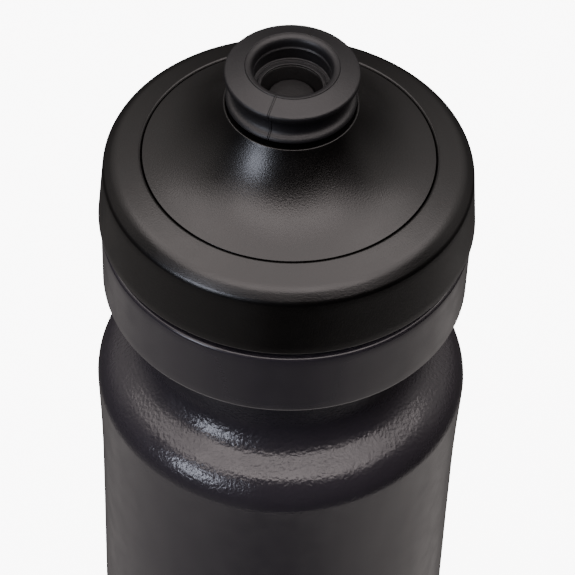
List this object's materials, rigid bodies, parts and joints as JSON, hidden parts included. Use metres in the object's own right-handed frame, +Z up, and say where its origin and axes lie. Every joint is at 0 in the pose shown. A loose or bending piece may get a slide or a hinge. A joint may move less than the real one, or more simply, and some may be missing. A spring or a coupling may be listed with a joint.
{
  "type": "sports squeeze bottle",
  "caption": "Wide-mouth squeeze bottle with a screw cap, a dished dome and a soft push-pull nozzle.",
  "frame": {"origin": "centre of the foot ring, on the surface the bottle stands on", "axes": "+Z up along the bottle's axis; the front, towards the viewer, is -Y"},
  "size_m": [0.074, 0.074, 0.2145],
  "materials": {
    "body_plastic": "satin black squeeze plastic with an orange-peel shoulder",
    "cap_plastic": "satin warm black",
    "gasket_rubber": "matte grey",
    "post_plastic": "satin black",
    "carrier_plastic": "satin black",
    "seal_rubber": "matte black",
    "nozzle_rubber": "soft matte black"
  },
  "bodies": {
    "bottle": {"bottle_body": "body_plastic"},
    "gasket": {"cap_gasket": "gasket_rubber"},
    "cap": {"cap_shell": "cap_plastic", "spout_dome": "cap_plastic", "valve_post": "post_plastic"},
    "nozzle": {"nozzle_carrier": "carrier_plastic", "carrier_seal": "seal_rubber", "nozzle_tip": "nozzle_rubber"}
  },
  "joints": [
    {"name": "cap_lift", "type": "slide", "parent": "bottle", "child": "gasket", "axis": [0, 0, 1], "range_m": [0, 0.00551]},
    {"name": "cap_turn", "type": "hinge", "parent": "gasket", "child": "cap", "pos_m": [0, 0, 0.176], "axis": [0, 0, 1], "range_deg": [0, 450]},
    {"name": "nozzle_slide", "type": "slide", "parent": "cap", "child": "nozzle", "axis": [0, 0, 1], "range_m": [0, 0.006]}
  ],
  "couplings": [
    {"joint": "cap_lift", "follows": "cap_turn", "m_per_rad": 0.00070028}
  ]
}
